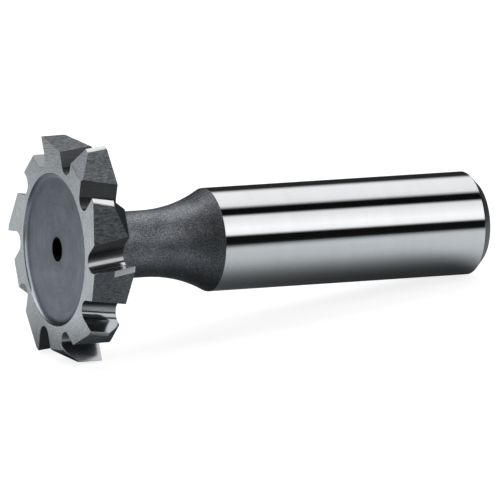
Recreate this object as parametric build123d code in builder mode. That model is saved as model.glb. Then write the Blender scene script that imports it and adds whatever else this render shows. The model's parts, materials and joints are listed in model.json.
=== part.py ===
from build123d import *
import os
from math import acos, asin, atan, cos, degrees, radians, sin, sqrt, tan

# Keyseat cutter for half-round keys: one solid piece with a thin staggered-tooth
# head, a slim flared neck and a plain ground shank. Sizes are in millimetres.
# It is modelled standing on its shank end, with +Z running up the tool axis to
# the face of the head, and is laid down at the end. Seen from the face, angles
# run anticlockwise, which is also the way that the cutter turns.

# Driving dimensions: the whole tool
overall_length = 56.25
shank_diameter = 12.7
shank_length = 36.15
shank_chamfer = 1.27
shank_start_radius = 0.4
neck_diameter = 8.2
neck_flare_radius = 16.2
neck_root_radius = 0.9

# Driving dimensions: the head
cutter_diameter = 27.9
face_width = 4.7
recess_diameter = 18.76
recess_depth = 0.43
recess_wall_radius = 0.8

# Driving dimensions: the centre holes that the tool is ground between
centre_mouth_diameter = 3.0
centre_cone_angle = 60
centre_pilot_diameter = 1.3
centre_pilot_depth = 1.4
centre_tip_angle = 118

# Driving dimensions: the teeth, which cut by turns at the face and at the back
tooth_pairs = 5
helix_angle = 10
rake_angle = 7.5
gullet_depth = 3.7
gullet_bottom_radius = 1.3
gullet_wall_angle = 43
land_width = 0.75
land_relief_angle = 8
flank_relief_angle = 30.5

# Driving dimensions: the facet that takes the idle corner off each tooth
corner_inset = 1.7
corner_angle = 38
corner_lag = 9

# Stock that the tooth cuts take away, and how far they run past the head
grinding_stock = 0.5
cut_run_out = 0.4

# Sizes worked out from the driving dimensions
cutter_radius = cutter_diameter / 2
shank_radius = shank_diameter / 2
neck_radius = neck_diameter / 2
recess_radius = recess_diameter / 2
blank_radius = cutter_radius + grinding_stock
cut_radius = blank_radius + cut_run_out
corner_radius = cutter_radius - corner_inset
back_height = overall_length - face_width
middle_height = overall_length - face_width / 2
floor_height = overall_length - recess_depth
flare_sweep = degrees(acos(1 - (shank_radius - neck_radius) / neck_flare_radius))
flare_height = shank_length + neck_flare_radius * sin(radians(flare_sweep))
wall_sweep = degrees(acos(1 - recess_depth / recess_wall_radius))
floor_radius = recess_radius - recess_wall_radius * sin(radians(wall_sweep))
tooth_pitch = 360 / (2 * tooth_pairs)
twist_rate = degrees(tan(radians(helix_angle)) / cutter_radius)


def polar(radius, angle):
    """A point of a cross-section, from its distance to the axis and its angle."""
    return Vector(radius * cos(radians(angle)), radius * sin(radians(angle)))


# The turned blank: shank, flared neck and a plain disc with a recessed face
with BuildPart() as blank:
    with BuildSketch(Plane.XZ) as profile:
        with BuildLine():
            Polyline(
                (0, floor_height),
                (0, 0),
                (shank_radius - shank_chamfer, 0),
                (shank_radius, shank_chamfer),
                (shank_radius, shank_length),
            )
            JernArc((neck_radius, flare_height), (0, -1), neck_flare_radius, flare_sweep)
            Polyline(
                (neck_radius, flare_height),
                (neck_radius, back_height),
                (blank_radius, back_height),
                (blank_radius, overall_length),
                (recess_radius, overall_length),
            )
            JernArc((floor_radius, floor_height), (1, 0), recess_wall_radius, wall_sweep)
            Line((floor_radius, floor_height), (0, floor_height))
        make_face()
        fillet(profile.vertices().sort_by_distance((neck_radius, back_height))[0], neck_root_radius)
        fillet(profile.vertices().sort_by_distance((shank_radius, shank_length))[0], shank_start_radius)
    revolve(axis=Axis.Z)

# The form of a centre drill, with its mouth at the origin and its tip pointing down
cone_depth = (centre_mouth_diameter - centre_pilot_diameter) / 2 / tan(radians(centre_cone_angle / 2))
pilot_end = cone_depth + centre_pilot_depth
tip_end = pilot_end + centre_pilot_diameter / 2 / tan(radians(centre_tip_angle / 2))

with BuildPart() as centre_drill:
    with BuildSketch(Plane.XZ):
        with BuildLine():
            Polyline(
                (0, 0),
                (centre_mouth_diameter / 2, 0),
                (centre_pilot_diameter / 2, -cone_depth),
                (centre_pilot_diameter / 2, -pilot_end),
                (0, -tip_end),
                close=True,
            )
        make_face()
    revolve(axis=Axis.Z)

# One tooth space in section, with the cutting edge on the X axis. The outline runs
# back along the land and the flank, and forward down the rake face, round the
# bottom and up the wall to the heel of the next tooth.
bottom_distance = cutter_radius - gullet_depth + gullet_bottom_radius
bottom_offset = gullet_bottom_radius - cutter_radius * sin(radians(rake_angle))
bottom_angle = rake_angle + degrees(asin(bottom_offset / bottom_distance))
rake_length = cutter_radius * cos(radians(rake_angle)) - sqrt(bottom_distance**2 - bottom_offset**2)
bottom_sweep = 180 + rake_angle - gullet_wall_angle

with BuildSketch() as tooth_space:
    with BuildLine():
        edge = polar(cutter_radius, 0)
        land = PolarLine(edge, land_width, -90 - land_relief_angle)
        behind = polar(1, bottom_angle - tooth_pitch)
        flank = PolarLine(land @ 1, Axis((0, 0, 0), behind), -90 - flank_relief_angle)
        rake = PolarLine(edge, rake_length, 180 + rake_angle)
        bottom = JernArc(rake @ 1, rake % 1, gullet_bottom_radius, -bottom_sweep)
        wall = PolarLine(bottom @ 1, Edge.make_circle(cut_radius), gullet_wall_angle)
        closing = Line(flank @ 1, behind * cut_radius)
        RadiusArc(wall @ 1, closing @ 1, cut_radius)
    make_face()


def space_cut(slant, edge_angle):
    """The cut of one tooth space, twisted one way or the other along the tool axis."""
    with BuildPart() as cut:
        for end in (-1, 1):
            height = middle_height + end * (face_width / 2 + cut_run_out)
            section_angle = edge_angle + slant * twist_rate * (height - middle_height)
            with BuildSketch(Plane((0, 0, height), polar(1, section_angle), (0, 0, 1))):
                add(tooth_space.sketch)
        loft(ruled=True)
    return cut.part


def corner_cut(slant, edge_angle):
    """The cut of the facet that takes off the idle corner, at the back or at the face."""
    side_height = middle_height - slant * face_width / 2
    middle_angle = edge_angle - corner_lag
    run_in = cut_run_out * tan(radians(corner_angle))
    depth = (blank_radius - corner_radius) / tan(radians(corner_angle))
    with BuildPart() as cut:
        with BuildSketch(Plane((0, 0, side_height), polar(1, middle_angle), polar(slant, middle_angle - 90))):
            with BuildLine():
                Polyline(
                    (corner_radius - run_in, -cut_run_out),
                    (blank_radius, depth),
                    (blank_radius, -cut_run_out),
                    close=True,
                )
            make_face()
        extrude(amount=cutter_radius * sin(radians(tooth_pitch / 2)), both=True)
    return cut.part


# The upright tool: the blank, less its centre holes, tooth spaces and corner facets.
# One slant of tooth cuts with its corner at the face, and the other at the back.
tooth_cuts = []
for slant, edge_angle in ((1, 0), (-1, tooth_pitch)):
    tooth_cuts.append(space_cut(slant, edge_angle))
    tooth_cuts.append(corner_cut(slant, edge_angle))

with BuildPart() as upright_cutter:
    add(blank.part)
    with Locations((0, 0, floor_height), Location((0, 0, 0), (180, 0, 0))):
        add(centre_drill.part, mode=Mode.SUBTRACT)
    with PolarLocations(0, tooth_pairs):
        for tooth_cut in tooth_cuts:
            add(tooth_cut, mode=Mode.SUBTRACT)

# Laid on a bench, the tool rests on the rim of its shank end and on two neighbouring
# teeth: one where its edge runs into its facet, and the other at the back of the head.
# The tilt of the axis and the angle that points down follow from these three points.
facet_depth = (cutter_radius * cos(radians(corner_lag)) - corner_radius) / tan(radians(corner_angle))
near_angle = -twist_rate * (face_width / 2 - facet_depth)
far_angle = tooth_pitch + twist_rate * face_width / 2
half_gap = radians(far_angle - near_angle) / 2
rest_span = back_height - shank_chamfer + facet_depth / 2
tilt = atan((cutter_radius * cos(half_gap) - shank_radius) / rest_span)
lean = asin(facet_depth * tan(tilt) / (2 * cutter_radius * sin(half_gap)))
down_angle = (near_angle + far_angle) / 2 - degrees(lean)

# The tool's own +Z axis and first cutting edge, as they point once it lies along X
lying_axis = Vector(-cos(tilt), 0, sin(tilt))
lying_down = Vector(-sin(tilt), 0, -cos(tilt))
lying_edge = lying_down.rotate(Axis((0, 0, 0), lying_axis), -down_angle)

with BuildPart(Plane((0, 0, 0), lying_edge, lying_axis)) as lying_cutter:
    add(upright_cutter.part)

# The origin is on the bench, under the middle of the tool
box = lying_cutter.part.bounding_box()
under_middle = Vector(box.center().X, box.center().Y, box.min.Z)

with BuildPart(Plane(-under_middle, lying_edge, lying_axis)) as keyseat_cutter:
    add(upright_cutter.part)

os.makedirs("parts", exist_ok=True)
keyseat_cutter.part.label = "keyseat_cutter"
export_step(keyseat_cutter.part, "parts/keyseat_cutter.step")
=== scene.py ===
import json
from math import cos, hypot, pi, radians, sin

import bmesh
import bpy
from bpy.props import FloatProperty, FloatVectorProperty, PointerProperty
from mathutils import Matrix, Vector


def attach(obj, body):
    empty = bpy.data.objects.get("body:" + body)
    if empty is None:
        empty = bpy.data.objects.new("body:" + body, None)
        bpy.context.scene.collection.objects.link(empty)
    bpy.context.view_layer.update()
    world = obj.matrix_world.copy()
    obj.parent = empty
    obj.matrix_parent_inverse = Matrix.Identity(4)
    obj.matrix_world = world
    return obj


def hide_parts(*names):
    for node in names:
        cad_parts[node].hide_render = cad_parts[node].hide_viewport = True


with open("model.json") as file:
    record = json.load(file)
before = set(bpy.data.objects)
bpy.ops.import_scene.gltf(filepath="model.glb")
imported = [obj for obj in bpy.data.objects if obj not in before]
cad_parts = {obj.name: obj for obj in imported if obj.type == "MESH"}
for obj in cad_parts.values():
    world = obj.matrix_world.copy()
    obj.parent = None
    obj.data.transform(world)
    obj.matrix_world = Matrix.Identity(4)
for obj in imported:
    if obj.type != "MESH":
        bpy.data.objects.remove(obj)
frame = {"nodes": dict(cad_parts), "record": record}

bl_info = {
    "name": "Keyseat cutter",
    "version": (1, 0, 0),
    "blender": (4, 5, 0),
    "location": "3D View > Sidebar > Keyseat cutter",
    "description": "Finishes the packed keyseat cutter in ground, milled and blasted steel",
    "category": "Object",
}

CAD_NODE = "keyseat_cutter"
SHANK = frame["record"]["mounts"][0]
MM = 0.001

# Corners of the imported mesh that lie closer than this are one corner
MERGE_DISTANCE = 0.0005 * MM
# Neighbouring faces that turn less than this are one face
FLAT_ANGLE = radians(0.05)
# Edges that turn more than this get a fine break
SHARP_ANGLE = radians(26)

# How much at least a face points along the axis, out from it, or the way that the cutter turns
FLAT_ALONG = 0.999
SIDE_ALONG = 0.95
FACET_ALONG = 0.5
END_ALONG = 0.3
RECESS_ALONG = 0.1
LAND_OUTWARD = 0.97
FLANK_OUTWARD = 0.7
RAKE_FORWARD = 0.97


# Sizes, colours and studio settings

def length(name, description, default):
    """A length that a user may change, in metres."""
    return FloatProperty(
        name=name, description=description, default=default, min=0, precision=5,
        subtype="DISTANCE", unit="LENGTH",
    )


def colour(name, description, default):
    """A colour that a user may change."""
    return FloatVectorProperty(
        name=name, description=description, default=default, min=0, max=1, size=3, subtype="COLOR",
    )


def share(name, description, default, most=1):
    """A share or a strength that a user may change."""
    return FloatProperty(
        name=name, description=description, default=default, min=0, max=most, subtype="FACTOR",
    )


def angle(name, description, default):
    """An angle that a user may change, given in degrees."""
    return FloatProperty(
        name=name, description=description, default=radians(default), subtype="ANGLE", unit="ROTATION",
    )


def point(name, description, default):
    """A point that a user may move, in metres."""
    return FloatVectorProperty(
        name=name, description=description, default=default, precision=5,
        subtype="TRANSLATION", unit="LENGTH",
    )


class CutterSizes(bpy.types.PropertyGroup):
    """Where the cutter lies, and the sizes that tell one finish from the next"""

    shank_middle: point("Shank middle", "Middle of the ground shank", SHANK["pos_m"])
    shank_axis: FloatVectorProperty(
        name="Shank axis", description="Direction from the head to the shank end", default=SHANK["axis"],
        subtype="DIRECTION",
    )
    overall_length: length("Overall length", "From the shank end to the face of the head", 56.25 * MM)
    shank_length: length("Shank length", "From the shank end to the start of the flare", 36.15 * MM)
    shank_chamfer: length("Shank chamfer", "Width of the chamfer on the shank end", 1.27 * MM)
    face_width: length("Face width", "Width of the head along the axis", 4.7 * MM)
    cutter_diameter: length("Cutter diameter", "Across the cutting edges", 27.9 * MM)
    recess_diameter: length("Recess diameter", "Across the mouth of the hollow in the face", 18.76 * MM)
    centre_diameter: length("Centre hole", "Across the mouth of the centre holes", 3 * MM)
    land_depth: length("Land depth", "How far in from the edges a ground land may lie", 0.4 * MM)
    flank_depth: length("Flank depth", "How far in from the edges a milled flank may lie", 2.3 * MM)
    edge_break: length("Edge break", "Width of the fine break on the ground edges", 0.04 * MM)


class SteelColours(bpy.types.PropertyGroup):
    """Colours of the steel under each finish"""

    ground_shank: colour("Ground shank", "Cylindrically ground shank", (0.88, 0.89, 0.91))
    ground_face: colour("Ground face", "Sides of the head", (0.61, 0.62, 0.64))
    recess: colour("Recess", "Hollow in the face of the head", (0.28, 0.305, 0.34))
    land: colour("Land", "Narrow land behind each cutting edge", (0.86, 0.87, 0.88))
    flank: colour("Flank", "Relieved back of each tooth", (0.235, 0.25, 0.265))
    corner_facet: colour("Corner facet", "Facet on the idle corner of each tooth", (0.26, 0.275, 0.3))
    gullet: colour("Tooth space", "Bottom of the space between two teeth", (0.58, 0.59, 0.61))
    rake_face: colour("Rake face", "Ground face in front of each cutting edge", (0.6, 0.62, 0.65))
    blasted_neck: colour("Blasted neck", "Neck and flare, blasted after hardening", (0.295, 0.31, 0.335))
    turned_end: colour("Turned end", "End of the shank and its chamfer", (0.1, 0.104, 0.114))
    # Near black: painted shade inside the centre holes
    centre_hole: colour("Centre hole", "Drilled centre holes", (0.003, 0.003, 0.004))


class StudioSettings(bpy.types.PropertyGroup):
    """Camera, floor and light"""

    target: point("Target", "Point in the middle of the picture", (-5.676 * MM, -9.791 * MM, 11.565 * MM))
    azimuth: angle("Azimuth", "Bearing of the camera", -22.884)
    elevation: angle("Elevation", "Height of the camera above the horizon", 15.606)
    roll: angle("Roll", "Turn of the camera about its line of sight", -5.24)
    distance: length("Distance", "From the camera to its target", 2.12766)
    lens: FloatProperty(
        name="Lens", description="Focal length in millimetres", default=1259.29, min=1, max=5000,
        subtype="DISTANCE_CAMERA",
    )
    floor_size: length("Floor size", "Length of a side of the floor", 6)
    floor_colour: colour("Floor colour", "Pale floor", (0.7, 0.7, 0.7))
    # Colour of the floor's painted glow, seen only in the steel's reflections
    floor_mirrored: colour("Floor mirrored", "Cool light that the steel mirrors from it", (0.93, 0.98, 1))
    floor_white: share("Floor white", "Light that the floor adds to its own picture", 0.82)
    surround: share("Surround", "Strength of the white studio on the cutter", 1.1, 2)
    key_power: FloatProperty(
        name="Key power", description="Power of the key softbox", default=0.12, min=0,
        subtype="POWER", unit="POWER",
    )
    key_size: length("Key size", "Length of a side of the key softbox", 0.35)
    key_place: point("Key place", "Where the key softbox hangs", (0.05, 0.12, 0.5))


# Shader nodes

class Value:
    """A node's output. Sums and products with it add Math nodes."""

    def __init__(self, tree, socket):
        self.tree = tree
        self.socket = socket

    def maths(self, operation, *operands):
        """The output of a Math node on these values."""
        return self.tree.add("ShaderNodeMath", {"operation": operation}, dict(enumerate(operands)))

    def __add__(self, other):
        return self.maths("ADD", self, other)

    def __radd__(self, other):
        return self.maths("ADD", other, self)

    def __sub__(self, other):
        return self.maths("SUBTRACT", self, other)

    def __rsub__(self, other):
        return self.maths("SUBTRACT", other, self)

    def __mul__(self, other):
        return self.maths("MULTIPLY", self, other)

    def __rmul__(self, other):
        return self.maths("MULTIPLY", other, self)

    def __truediv__(self, other):
        return self.maths("DIVIDE", self, other)

    def __rtruediv__(self, other):
        return self.maths("DIVIDE", other, self)

    def __pow__(self, other):
        return self.maths("POWER", self, other)


class Tree:
    """The nodes of a material or of the world."""

    def __init__(self, owner):
        owner.use_nodes = True
        self.tree = owner.node_tree
        self.tree.nodes.clear()

    def add(self, kind, settings, sockets, output=0):
        """Adds a node, gives it its settings and then its sockets' values or links, and returns an output."""
        node = self.tree.nodes.new(kind)
        for name, value in settings.items():
            if name == "stops":
                self.place_stops(node.color_ramp, value)
            else:
                setattr(node, name, value)
        for name, value in sockets.items():
            if isinstance(value, Value):
                self.tree.links.new(value.socket, node.inputs[name])
            else:
                node.inputs[name].default_value = value
        return Value(self, node.outputs[output]) if len(node.outputs) else None

    def place_stops(self, ramp, stops):
        """Gives a colour ramp its grey stops, each a place and a brightness."""
        ramp.elements.remove(ramp.elements[1])
        for number, (place, grey) in enumerate(stops):
            element = ramp.elements.new(place) if number else ramp.elements[0]
            element.position = place
            element.color = (grey, grey, grey, 1)

    def ramp(self, factor, *stops):
        """A grey that follows its stops."""
        return self.add("ShaderNodeValToRGB", {"stops": stops}, {"Fac": factor})

    def vector(self, operation, *operands, output="Vector"):
        """The output of a Vector Math node on these vectors."""
        return self.add("ShaderNodeVectorMath", {"operation": operation}, dict(enumerate(operands)), output)

    def scaled(self, vector, factors):
        """A vector with each of its parts multiplied."""
        return self.vector("MULTIPLY", vector, factors)

    def dot(self, vector, direction):
        """How far a vector reaches in a direction."""
        return self.vector("DOT_PRODUCT", vector, direction, output="Value")

    def distance(self, vector, place):
        """The distance between two points."""
        return self.vector("DISTANCE", vector, place, output="Value")

    def noise(self, vector, detail=2, roughness=0.5):
        """Noise from 0 to 1, with about one swell to each unit of the vector."""
        return self.add(
            "ShaderNodeTexNoise", {},
            {"Vector": vector, "Scale": 1, "Detail": detail, "Roughness": roughness},
        )

    def tint(self, base, brightness):
        """A plain colour, made darker and lighter by a value around 1."""
        grey = self.add("ShaderNodeCombineXYZ", {}, {"X": brightness, "Y": brightness, "Z": brightness})
        return self.scaled(grey, tuple(base))


class Finish(Tree):
    """A steel finish, patterned in the tool's own millimetres: X and Y across it, and Z up its axis."""

    def __init__(self, name, place):
        self.material = bpy.data.materials.new(name)
        super().__init__(self.material)
        self.spot = self.add("ShaderNodeTexCoord", {}, {}, "Object")
        self.origin = place.translation
        self.axis = place.to_3x3() @ Vector((0, 0, 1))
        self.point = self.add(
            "ShaderNodeMapping", {"vector_type": "TEXTURE"},
            {
                "Vector": self.spot, "Location": self.origin, "Rotation": place.to_euler(),
                "Scale": (MM, MM, MM),
            },
        )

    def across(self):
        """The point's place across the tool, with its height taken off."""
        return self.scaled(self.point, (1, 1, 0))

    def radius(self):
        """Distance from the tool axis in millimetres."""
        return self.vector("LENGTH", self.across(), output="Value")

    def height(self):
        """Distance up the tool axis from the shank end in millimetres."""
        return self.dot(self.point, (0, 0, 1))

    def away(self):
        """The way from the middle of the shank end to the point, as the tool lies."""
        return self.vector("SUBTRACT", self.spot, self.origin)

    def forward(self):
        """How squarely the surface faces the way that the cutter turns: 1 on a rake face, -1 at a heel."""
        facing = self.add("ShaderNodeTexCoord", {}, {}, "Normal")
        moment = self.dot(self.vector("CROSS_PRODUCT", self.away(), facing), self.axis)
        return moment / (self.radius() * MM)

    def toward(self, degrees):
        """1 toward this angle round the lying tool and -1 away from it: 0 is the near side, 90 is up."""
        near = Vector((0, 0, 1)).cross(self.axis).normalized()
        direction = near * cos(radians(degrees)) + self.axis.cross(near) * sin(radians(degrees))
        return self.dot(self.away(), direction / MM) / self.radius()

    def rings(self, around, along):
        """Noise in lines that run round the tool, as a grinding wheel or a lathe leaves them."""
        return self.noise(self.scaled(self.point, (around, around, along)))

    def circles(self, around, outward):
        """Noise in circles on a face, as a cup wheel leaves them."""
        turn = self.scaled(self.vector("NORMALIZE", self.across()), (around, around, 0))
        rise = self.add("ShaderNodeCombineXYZ", {}, {"Z": self.radius() * outward})
        return self.noise(self.vector("ADD", turn, rise))

    def steel(self, base, shade, roughness, height, depth):
        """Ends the finish: a metal of this colour, shade, roughness and relief, its depth in millimetres."""
        relief = self.add("ShaderNodeBump", {}, {"Height": height, "Distance": depth * MM, "Strength": 1})
        shader = self.add(
            "ShaderNodeBsdfPrincipled", {},
            {"Base Color": self.tint(base, shade), "Roughness": roughness, "Metallic": 1, "Normal": relief},
        )
        self.add("ShaderNodeOutputMaterial", {}, {"Surface": shader})
        return self.material


# The finishes

def ground_shank(place, colours):
    """Cylindrical grinding: a bright mirror that fine lines run round."""
    steel = Finish("Ground shank", place)
    fine = steel.rings(0.12, 9)
    broad = steel.rings(0.05, 0.6)
    roughness = 0.04 + 0.03 * fine + 0.02 * broad
    return steel.steel(colours.ground_shank, 0.94 + 0.1 * broad, roughness, fine, 0.0015)


def ground_face(place, colours):
    """Surface grinding on the sides of the head, a little uneven, with a painted sheen at both sides and
    painted light and shade toward some sides.
    """
    steel = Finish("Ground face", place)
    fine = steel.circles(5, 9)
    grain = steel.noise(steel.scaled(steel.point, (6, 6, 6)), 2, 0.6)
    mottle = steel.noise(steel.scaled(steel.point, (0.8, 0.8, 0.8)))
    marks = 0.35 + 0.2 * fine + 0.8 * grain + 0.3 * mottle
    # Painted sheen: brightest at both sides of the lying tool
    sides = 0.9 + 0.2 * steel.toward(0) ** 2
    # Painted light toward the lower near side, painted shade toward the lower far side
    paler = steel.ramp(steel.toward(299), (0.75, 0), (0.95, 1))
    darker = steel.ramp(steel.toward(220), (0.5, 0), (0.9, 1))
    shade = marks * sides * (1 + 0.3 * paler - 0.18 * darker)
    return steel.steel(colours.ground_face, shade, 0.22 + 0.12 * fine, fine, 0.016)


def recess(place, colours):
    """The hollow in the face, turned before hardening and left darker, with a painted highlight on its rim
    wall and painted light and shade across it.
    """
    steel = Finish("Turned recess", place)
    fine = steel.circles(2.5, 5)
    speck = steel.noise(steel.scaled(steel.point, (6, 6, 6)), 2, 0.6)
    cloud = steel.noise(steel.scaled(steel.point, (0.4, 0.4, 0.4)))
    centimetres = steel.radius() * 0.1
    # Painted highlight on the rim wall, held back at the top and toward the bottom
    rim = steel.ramp(centimetres, (0.885, 0), (0.93, 1))
    not_top = steel.ramp(steel.toward(119), (0.78, 1), (0.93, 0.15))
    not_bottom = steel.ramp(steel.toward(292), (0.8, 1), (0.93, 0.55), (1, 0.1))
    painted_rim_highlight = rim * not_top * not_bottom
    # Darker close round the centre hole
    darker_near_hole = steel.ramp(centimetres, (0.15, 0.72), (0.2, 0.86), (0.3, 1))
    # Painted light and shade: lighter toward the bottom of the recess, darker toward its top
    downward = 1 + 0.026 * steel.toward(299) * steel.radius()
    dull = (0.5 * fine + 0.9 * speck + 0.6 * cloud) * darker_near_hole * downward
    # Painted shade: a dark line on the wall at the bottom of the recess
    foot = steel.ramp(centimetres, (0.85, 0), (0.885, 1))
    painted_bottom_shade = foot * steel.ramp(steel.toward(287), (0.85, 0), (0.97, 1))
    shade = (dull * (1 - painted_rim_highlight) + (1.9 + 0.5 * fine) * painted_rim_highlight) * (1 - 0.6 * painted_bottom_shade)
    roughness = 0.38 + 0.12 * speck - 0.2 * painted_rim_highlight
    return steel.steel(colours.recess, shade, roughness, fine + speck, 0.004)


def land(place, colours):
    """The narrow ground land behind a cutting edge."""
    steel = Finish("Ground land", place)
    fine = steel.noise(steel.scaled(steel.point, (6, 6, 1)))
    return steel.steel(colours.land, 0.92 + 0.1 * fine, 0.18 + 0.08 * fine, fine, 0.001)


def flank(place, colours):
    """The milled back of a tooth, with the cutter's marks along the tool."""
    steel = Finish("Milled flank", place)
    marks = steel.noise(steel.scaled(steel.point, (5, 5, 1.6)), 4, 0.65)
    mottle = steel.noise(steel.scaled(steel.point, (4, 4, 4)), 2, 0.6)
    shade = 1.558 * steel.ramp(marks, (0.3, 0), (0.7, 1)) + 0.902 * mottle
    return steel.steel(colours.flank, shade, 0.5 + 0.2 * marks, marks, 0.02)


def corner_facet(place, colours):
    """The facet that takes the idle corner off a tooth, ground like the flank."""
    steel = Finish("Ground facet", place)
    marks = steel.noise(steel.scaled(steel.point, (4, 4, 2)), 3, 0.6)
    return steel.steel(colours.corner_facet, 0.3 + 1.4 * marks, 0.24 + 0.14 * marks, marks, 0.004)


def gullet(place, colours):
    """A tooth space: dark as milled on the heel wall, but painted lighter in the few spaces toward the
    upper far side, where light falls, and polished where the grinding wheel reached its bottom."""
    steel = Finish("Tooth space", place)
    streak = steel.noise(steel.scaled(steel.point, (4, 4, 0.25)), 3)
    polish = steel.ramp(
        steel.forward() * 0.5 + 0.5,
        (0.075, 0.28), (0.11, 0.2), (0.14, 0.13), (0.3, 0.14), (0.42, 0.19), (0.49, 0.37),
        (0.55, 0.53), (0.62, 0.72), (0.68, 0.85), (0.8, 1),
    )
    # Painted light: the tooth spaces toward the upper far side of the lying tool are painted lighter
    painted_upper_light = steel.ramp(steel.toward(140), (0.68, 0), (0.82, 1))
    shade = polish * (0.6 + 0.8 * streak) * (1 - painted_upper_light) + (0.68 + 0.3 * streak) * painted_upper_light
    roughness = 0.62 - 0.5 * polish + 0.1 * streak
    return steel.steel(colours.gullet, shade, roughness, streak, 0.004)


def rake_face(place, colours):
    """The finely ground face in front of a cutting edge."""
    steel = Finish("Rake face", place)
    streak = steel.noise(steel.scaled(steel.point, (5, 5, 0.3)), 3)
    return steel.steel(colours.rake_face, 0.85 + 0.3 * streak, 0.12 + 0.1 * streak, streak, 0.0015)


def blasted_neck(place, colours):
    """Steel blasted after hardening: dark, matt and finely pitted, with painted shade that darkens it toward
    the flare.
    """
    steel = Finish("Blasted neck", place)
    pits = steel.noise(steel.scaled(steel.point, (7, 7, 7)), 2, 0.7)
    cloud = steel.noise(steel.scaled(steel.point, (0.35, 0.35, 0.35)))
    sparkle = steel.ramp(pits, (0.45, 0), (0.7, 1))
    # Painted shade, darker toward the flare
    flare = steel.ramp(steel.height() * 0.01, (0.37, 0.68), (0.41, 0.92), (0.45, 1))
    shade = (0.5 * pits + 0.9 * cloud + 1.1 * sparkle) * flare
    return steel.steel(colours.blasted_neck, shade, 0.42 + 0.12 * pits, pits, 0.02)


def turned_end(place, colours):
    """The turned end of the shank and its chamfer."""
    steel = Finish("Turned end", place)
    fine = steel.rings(0.3, 8)
    return steel.steel(colours.turned_end, 0.85 + 0.3 * fine, 0.3 + 0.1 * fine, fine, 0.003)


def centre_hole(place, colours):
    """The drilled centre hole, its steel painted near black for the shade inside the hole."""
    steel = Finish("Centre hole", place)
    fine = steel.rings(0.3, 6)
    return steel.steel(colours.centre_hole, 0.8 + 0.4 * fine, 0.4 + 0.1 * fine, fine, 0.003)


FINISHES = (
    ground_shank, ground_face, recess, land, flank, corner_facet, gullet, rake_face, blasted_neck,
    turned_end, centre_hole,
)


# The cutter

def tool_place(sizes):
    """The matrix from the tool's own frame, with +Z up its axis from the shank end, to where it lies."""
    axis = -Vector(sizes.shank_axis).normalized()
    middle_height = SHANK["dims"]["length_mm"] * MM / 2 + sizes.shank_chamfer
    place = axis.to_track_quat("Z", "Y").to_matrix().to_4x4()
    place.translation = Vector(sizes.shank_middle) - axis * middle_height
    return place


def finish_of(face, to_tool, sizes):
    """The finish of a face, from where it lies on the tool and which way it points."""
    middle = to_tool @ face.calc_center_median()
    facing = to_tool.to_3x3() @ face.normal
    height = middle.z
    radius = hypot(middle.x, middle.y)
    outward = (facing.x * middle.x + facing.y * middle.y) / radius
    forward = (facing.y * middle.x - facing.x * middle.y) / radius
    edge_radius = sizes.cutter_diameter / 2
    recess_radius = sizes.recess_diameter / 2
    head_back = sizes.overall_length - sizes.face_width
    head_middle = sizes.overall_length - sizes.face_width / 2
    slack = 0.05 * MM
    if radius < sizes.centre_diameter / 2 and abs(facing.z) < FLAT_ALONG:
        return centre_hole
    if height < sizes.shank_chamfer + slack and facing.z < -END_ALONG:
        return turned_end
    if height < sizes.shank_length - slack:
        return ground_shank
    if height < head_back - slack:
        return blasted_neck
    if radius < recess_radius and facing.z > RECESS_ALONG:
        return recess
    if abs(facing.z) > SIDE_ALONG:
        return ground_face
    if radius < recess_radius and height < head_middle:
        return blasted_neck
    if abs(facing.z) > FACET_ALONG:
        return corner_facet
    if outward > LAND_OUTWARD and radius > edge_radius - sizes.land_depth:
        return land
    if outward > FLANK_OUTWARD and radius > edge_radius - sizes.flank_depth:
        return flank
    if forward > RAKE_FORWARD:
        return rake_face
    return gullet


class KEYSEAT_OT_cutter(bpy.types.Operator):
    """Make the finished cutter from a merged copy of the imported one"""

    bl_idname = "keyseat.cutter"
    bl_label = "Cutter"
    bl_options = {"REGISTER", "UNDO"}

    def execute(self, context):
        sizes = context.scene.cutter_sizes
        place = tool_place(sizes)
        to_tool = place.inverted()
        mesh = bpy.data.meshes.new("cutter_steel")
        shape = bmesh.new()
        shape.from_mesh(frame["nodes"][CAD_NODE].data)
        bmesh.ops.remove_doubles(shape, verts=shape.verts, dist=MERGE_DISTANCE)
        for face in shape.faces:
            face.material_index = FINISHES.index(finish_of(face, to_tool, sizes))
            face.smooth = True
        bmesh.ops.dissolve_limit(
            shape, angle_limit=FLAT_ANGLE, verts=shape.verts, edges=shape.edges, delimit={"MATERIAL"},
        )
        broken = []
        for edge in shape.edges:
            if len(edge.link_faces) != 2:
                raise RuntimeError("The merged copy of the cutter isn't closed")
            near, far = edge.link_faces
            if edge.calc_face_angle() > SHARP_ANGLE:
                broken.append(edge)
            elif near.material_index != far.material_index:
                edge.smooth = False
        bmesh.ops.bevel(
            shape, geom=broken, offset=sizes.edge_break, offset_type="OFFSET", affect="EDGES",
            segments=2, profile=0.5, clamp_overlap=True, material=-1,
        )
        shape.to_mesh(mesh)
        shape.free()
        piece = bpy.data.objects.new("cutter_steel", mesh)
        context.scene.collection.objects.link(piece)
        for finish in FINISHES:
            mesh.materials.append(finish(place, context.scene.steel_colours))
        even = piece.modifiers.new("Even shading", "WEIGHTED_NORMAL")
        even.keep_sharp = True
        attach(piece, "root")
        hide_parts(CAD_NODE)
        return {"FINISHED"}


# The studio

def camera_turn(studio):
    """The camera's turn from looking straight down."""
    return (
        Matrix.Rotation(studio.azimuth, 4, "Z")
        @ Matrix.Rotation(pi / 2 - studio.elevation, 4, "X")
        @ Matrix.Rotation(studio.roll, 4, "Z")
    )


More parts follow.
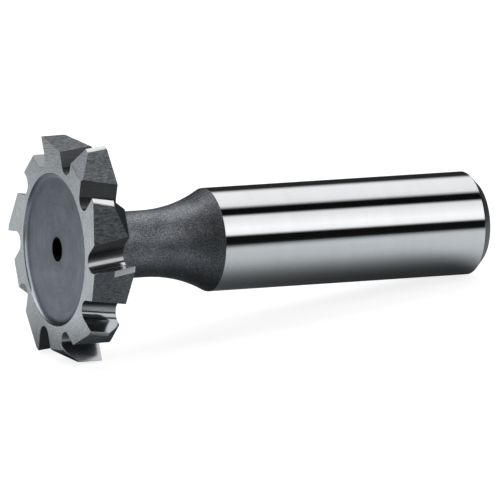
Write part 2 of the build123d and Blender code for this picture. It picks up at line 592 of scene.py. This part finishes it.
def floor_material(studio):
    """A pale floor that photographs white and keeps the shadow of the cutter. Mirrored in the
    steel, it glows with a painted pool of light, painted shade to its sides and a painted shadow under the
    cutter."""
    material = bpy.data.materials.new("Pale floor")
    tree = Tree(material)
    camera = tree.add("ShaderNodeLightPath", {}, {}, "Is Camera Ray")
    glossy = tree.add("ShaderNodeLightPath", {}, {}, "Is Glossy Ray")
    through = tree.add("ShaderNodeLightPath", {}, {}, "Is Transmission Ray")
    mirrored = glossy + through
    spot = tree.add("ShaderNodeTexCoord", {}, {}, "Object")
    # Painted pool of light round the cutter
    pool = tree.ramp(
        tree.distance(tree.scaled(spot, (2, 4, 0)), (0, 0.32, 0)),
        (0.15, 0.77), (0.35, 0.71), (0.414, 0.64), (0.48, 0.6), (0.557, 0.45), (0.63, 0.28),
        (0.83, 0.1), (1, 0.02),
    )
    decimetres = tree.scaled(spot, (10, 10, 0))
    # Painted shade in front of the head
    before_head = tree.ramp(
        tree.distance(decimetres, (-0.42, 0.1, 0)),
        (0, 0.2), (0.06, 0.3), (0.12, 0.75), (0.2, 0.95), (0.3, 1),
    )
    # Painted shade toward the left and the right
    left = tree.ramp(tree.dot(decimetres, (-1, -0.7, 0)), (0.25, 1), (0.4, 0.55), (0.7, 0.48), (1, 0.35))
    right = tree.ramp(tree.dot(decimetres, (1, 1, 0)), (0.5, 1), (0.75, 0.35), (1, 0.3))
    # Painted shadow in the gap under the cutter, from ambient occlusion
    gap = tree.ramp(
        tree.add("ShaderNodeAmbientOcclusion", {}, {"Distance": 50 * MM}, "AO"),
        (0.3, 0.04), (0.392, 0.065), (0.459, 0.095), (0.514, 0.16), (0.588, 0.23), (0.659, 0.37),
        (0.726, 0.52), (0.82, 0.76), (0.93, 0.86), (1, 1),
    )
    pale = tree.add("ShaderNodeBsdfDiffuse", {}, {"Color": (*studio.floor_colour, 1)})
    white = tree.add("ShaderNodeEmission", {}, {"Color": (1, 1, 1, 1), "Strength": studio.floor_white})
    whiter = tree.add("ShaderNodeAddShader", {}, {0: pale, 1: white})
    seen = tree.add("ShaderNodeMixShader", {}, {0: camera, 1: pale, 2: whiter})
    # The floor glows with this painted light only for mirrored rays
    glow = tree.tint(studio.floor_mirrored, pool * before_head * left * right * gap)
    painted_glow = tree.add("ShaderNodeEmission", {}, {"Color": glow, "Strength": 1})
    both = tree.add("ShaderNodeMixShader", {}, {0: mirrored, 1: seen, 2: painted_glow})
    tree.add("ShaderNodeOutputMaterial", {}, {"Surface": both})
    return material


def light_surround(world, studio, place):
    """A white studio with dark gaps between its softboxes, which the ground shank mirrors as dark lines."""
    tree = Tree(world)
    camera = tree.add("ShaderNodeLightPath", {}, {}, "Is Camera Ray")
    ray = tree.add("ShaderNodeTexCoord", {}, {}, "Generated")
    axis = place.to_3x3() @ Vector((0, 0, -1))
    back = camera_turn(studio) @ Vector((0, 0, 1))
    toward = (back - axis * back.dot(axis)).normalized()
    upward = toward.cross(axis)
    along = tree.dot(ray, axis) * 0.5 + 0.5
    height = tree.dot(ray, upward)
    turn = height.maths("ARCTAN2", height, tree.dot(ray, toward)) / (2 * pi) + 0.5
    softboxes = tree.ramp(
        turn,
        (0.0, 0.02), (0.25, 0.02), (0.507, 0.003), (0.5205, 0.86), (0.535, 0.95), (0.555, 0.98),
        (0.60, 0.84), (0.629, 0.74), (0.6455, 0.003), (0.6865, 0.003), (0.71, 0.74),
        (0.74, 0.82), (0.82, 0.84), (0.8361, 0.76), (0.8694, 0.02), (1.0, 0.02),
    )
    wing = tree.ramp(
        turn,
        (0.0, 0.2), (0.2, 0.1), (0.25, 0.05), (0.66, 0.05), (0.7, 0.15), (0.735, 1.0), (0.79, 1.0),
        (0.812, 0.8), (0.835, 0.15), (0.87, 0.06), (0.94, 0.06), (1.0, 0.2),
    )
    left = tree.ramp(along, (0.35, 1), (0.6, 0))
    right = tree.ramp(along, (0.78, 1), (0.9, 0.08))
    end = tree.ramp(along, (0.05, 0.72), (0.11, 0))
    grey = (softboxes * (1 - left) + wing * left) * right
    grey = grey.maths("MAXIMUM", grey, end)
    white = camera + (1 - camera) * grey * studio.surround
    background = tree.add("ShaderNodeBackground", {}, {"Color": white, "Strength": 1})
    tree.add("ShaderNodeOutputWorld", {}, {"Surface": background})


class KEYSEAT_OT_studio(bpy.types.Operator):
    """Make the floor, the light and the camera"""

    bl_idname = "keyseat.studio"
    bl_label = "Studio"
    bl_options = {"REGISTER", "UNDO"}

    def execute(self, context):
        scene = context.scene
        studio = scene.studio_settings
        mesh = bpy.data.meshes.new("floor")
        shape = bmesh.new()
        bmesh.ops.create_grid(shape, x_segments=1, y_segments=1, size=studio.floor_size / 2)
        shape.to_mesh(mesh)
        shape.free()
        mesh.materials.append(floor_material(studio))
        floor = bpy.data.objects.new("floor", mesh)
        scene.collection.objects.link(floor)

        scene.world = bpy.data.worlds.new("Studio")
        light_surround(scene.world, studio, tool_place(scene.cutter_sizes))

        lamp = bpy.data.lights.new("Key softbox", "AREA")
        lamp.shape = "RECTANGLE"
        lamp.size = studio.key_size
        lamp.size_y = studio.key_size
        lamp.energy = studio.key_power
        softbox = bpy.data.objects.new("Key softbox", lamp)
        scene.collection.objects.link(softbox)
        softbox.location = studio.key_place
        softbox.rotation_euler = (-softbox.location).to_track_quat("-Z", "Y").to_euler()

        camera = bpy.data.cameras.new("Camera")
        camera.lens = studio.lens
        camera.clip_start = 0.05
        camera.clip_end = 20
        viewer = bpy.data.objects.new("Camera", camera)
        scene.collection.objects.link(viewer)
        turn = camera_turn(studio)
        back = turn @ Vector((0, 0, 1))
        viewer.matrix_world = Matrix.Translation(Vector(studio.target) + back * studio.distance) @ turn
        scene.camera = viewer
        scene.view_settings.view_transform = "Standard"
        return {"FINISHED"}


class KEYSEAT_PT_panel(bpy.types.Panel):
    """Lists the cutter, the studio and their settings"""

    bl_label = "Keyseat cutter"
    bl_idname = "KEYSEAT_PT_panel"
    bl_space_type = "VIEW_3D"
    bl_region_type = "UI"
    bl_category = "Keyseat cutter"

    def draw(self, context):
        for operator, group in (
            (KEYSEAT_OT_cutter, context.scene.cutter_sizes),
            (None, context.scene.steel_colours),
            (KEYSEAT_OT_studio, context.scene.studio_settings),
        ):
            box = self.layout.box()
            if operator:
                box.operator(operator.bl_idname)
            for name in group.__annotations__:
                box.prop(group, name)


CLASSES = (
    CutterSizes, SteelColours, StudioSettings, KEYSEAT_OT_cutter, KEYSEAT_OT_studio, KEYSEAT_PT_panel,
)


def register():
    for cls in CLASSES:
        bpy.utils.register_class(cls)
    bpy.types.Scene.cutter_sizes = PointerProperty(type=CutterSizes)
    bpy.types.Scene.steel_colours = PointerProperty(type=SteelColours)
    bpy.types.Scene.studio_settings = PointerProperty(type=StudioSettings)


def unregister():
    del bpy.types.Scene.studio_settings
    del bpy.types.Scene.steel_colours
    del bpy.types.Scene.cutter_sizes
    for cls in reversed(CLASSES):
        bpy.utils.unregister_class(cls)


def main():
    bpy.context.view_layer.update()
    register()
    bpy.ops.keyseat.cutter()
    bpy.ops.keyseat.studio()


if __name__ == "__main__":
    main()
